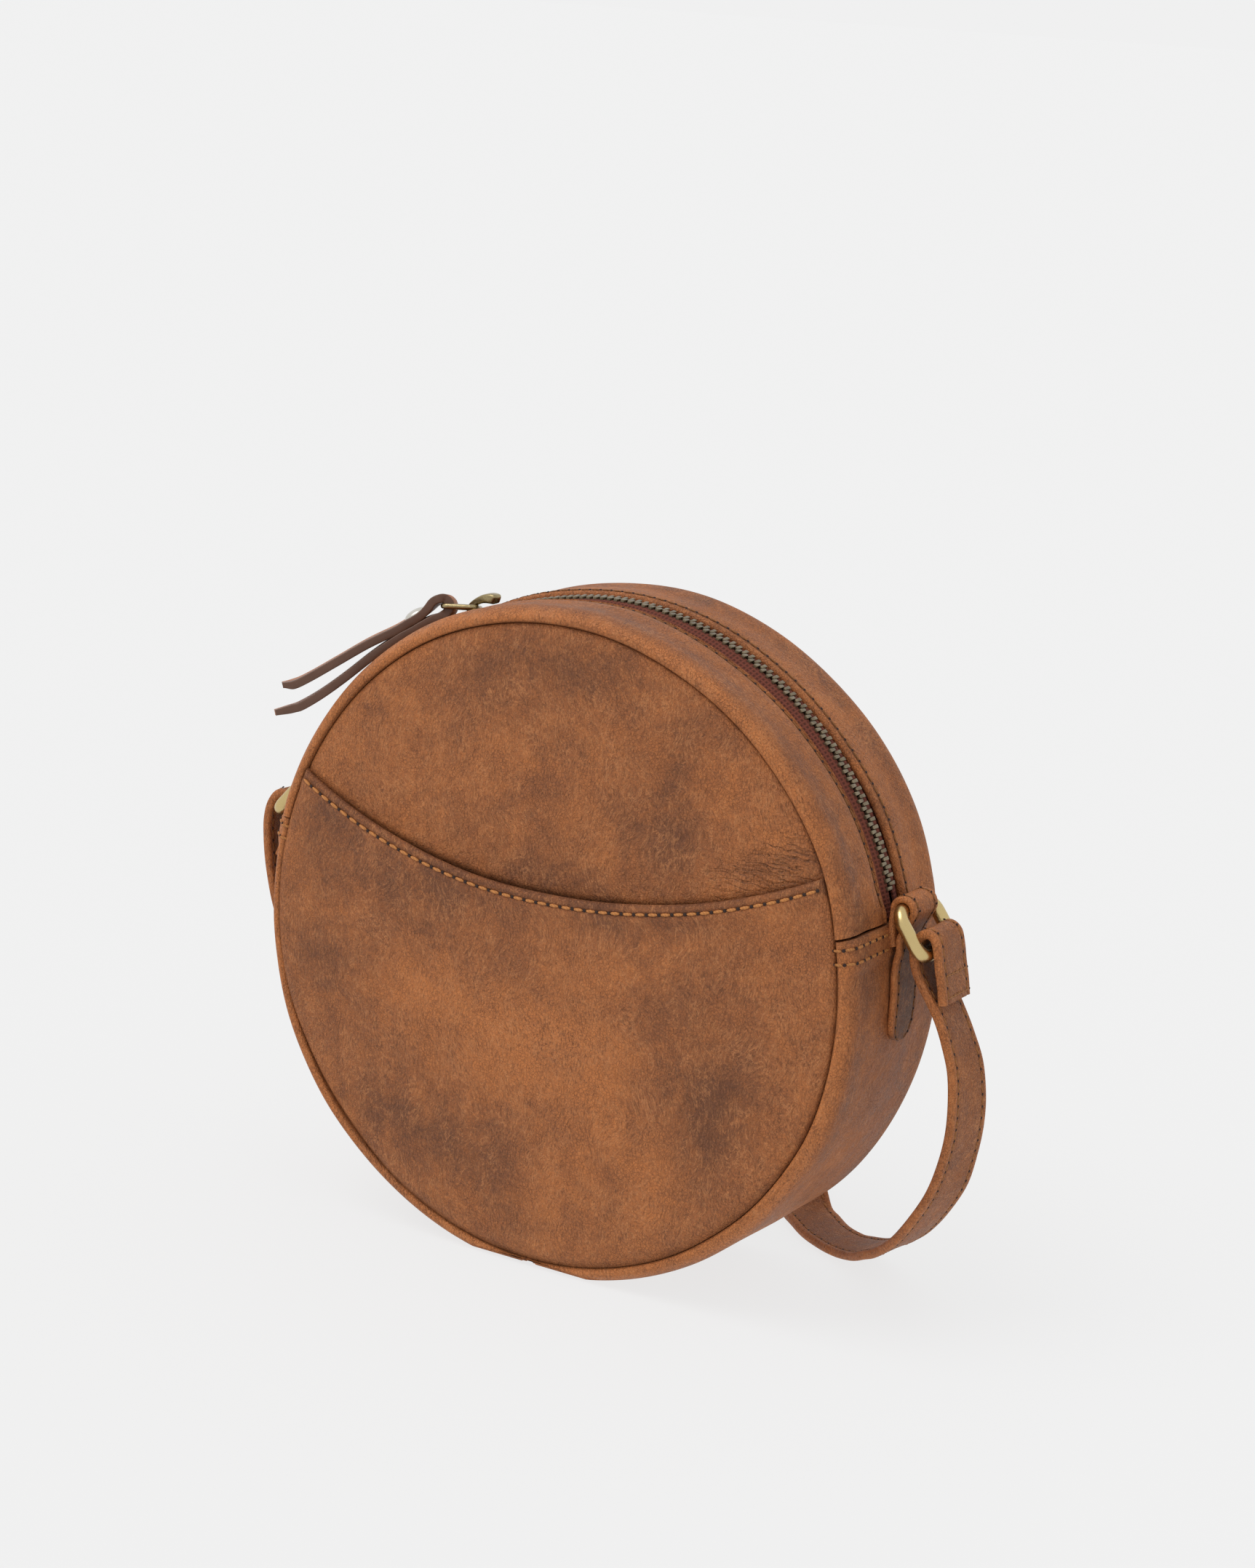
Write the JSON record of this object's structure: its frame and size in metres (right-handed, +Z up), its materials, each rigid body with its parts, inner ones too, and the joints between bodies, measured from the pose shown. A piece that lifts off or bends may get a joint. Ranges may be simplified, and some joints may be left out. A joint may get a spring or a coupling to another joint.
{
  "type": "bag",
  "caption": "Round leather crossbody bag standing on its edge, with a curved front pocket, a brass zip over the top, a leather puller and a shoulder strap on two rings",
  "frame": {"origin": "On the surface the bag stands on, under the middle of the round body, at the middle of the small flat at its foot.", "axes": "+Z points up. -Y points to the front, where the curved pocket is. +X points to the right as seen from the front. The disc's axis runs along Y."},
  "size_m": [0.2881, 0.2376, 0.2178],
  "materials": {
    "body_leather": "waxed pull-up leather, satin, mottled",
    "strap_leather": "waxed leather with turned and stitched edges",
    "puller_leather": "tan faces with dark painted edges",
    "lining_cloth": "plain woven cotton",
    "board": "pressed fibre board, unseen",
    "zip_cloth": "woven tape",
    "zip_bronze": "dark antique",
    "antique_brass": "brushed, slightly worn",
    "thread": "waxed thread"
  },
  "bodies": {
    "shell": {"front_panel": "body_leather", "front_pocket": "body_leather", "pocket_lining": "lining_cloth", "back_panel": "body_leather", "zip_gusset_front": "body_leather", "zip_gusset_rear": "body_leather", "lower_gusset_right": "body_leather", "lower_gusset_left": "body_leather", "front_board": "board", "back_board": "board", "gusset_board": "board", "lining_front": "lining_cloth", "lining_back": "lining_cloth", "lining_lower": "lining_cloth", "lining_upper_front": "lining_cloth", "lining_upper_rear": "lining_cloth", "zip_tape_front": "zip_cloth", "zip_tape_rear": "zip_cloth", "zip_teeth_front": "zip_bronze", "zip_teeth_rear": "zip_bronze", "zip_top_stops": "zip_bronze", "zip_bottom_stop": "zip_bronze", "tab_right": "strap_leather", "tab_left": "strap_leather", "strap": "strap_leather", "thread_zip_front": "thread", "thread_zip_rear": "thread", "thread_pocket": "thread", "thread_side_seams": "thread"},
    "slider": {"zip_slider": "antique_brass"},
    "pull_ring": {"puller_ring": "antique_brass"},
    "puller": {"puller_strap": "puller_leather", "rivet_cap": "antique_brass", "rivet_post": "antique_brass"},
    "strap_ring_right": {"ring_right": "antique_brass"},
    "strap_ring_left": {"ring_left": "antique_brass"}
  },
  "joints": [
    {"name": "zip_slide", "type": "hinge", "parent": "shell", "child": "slider", "pos_m": [0, 0, 0.107], "axis": [0, 1, 0], "range_deg": [-27, 96], "deforming": ["zip_teeth_front", "zip_teeth_rear", "zip_tape_front", "zip_tape_rear", "puller_strap"]},
    {"name": "pull_ring_hinge", "type": "hinge", "parent": "slider", "child": "pull_ring", "pos_m": [-0.0528, 0, 0.20506], "axis": [-0.3721, 0.9063, -0.2004], "range_deg": [0, 100], "deforming": ["puller_strap"]},
    {"name": "puller_hinge", "type": "hinge", "parent": "pull_ring", "child": "puller", "pos_m": [-0.06294, -0.00425, 0.20468], "axis": [-0.3721, 0.9063, -0.2004], "range_deg": [0, 60]},
    {"name": "ring_right_hinge", "type": "hinge", "parent": "shell", "child": "strap_ring_right", "pos_m": [0.11204, 0, 0.13744], "axis": [0, 1, 0], "range_deg": [-110, 25], "deforming": ["strap"]},
    {"name": "ring_left_hinge", "type": "hinge", "parent": "shell", "child": "strap_ring_left", "pos_m": [-0.11204, 0, 0.13744], "axis": [0, 1, 0], "range_deg": [-25, 110], "deforming": ["strap"]}
  ]
}
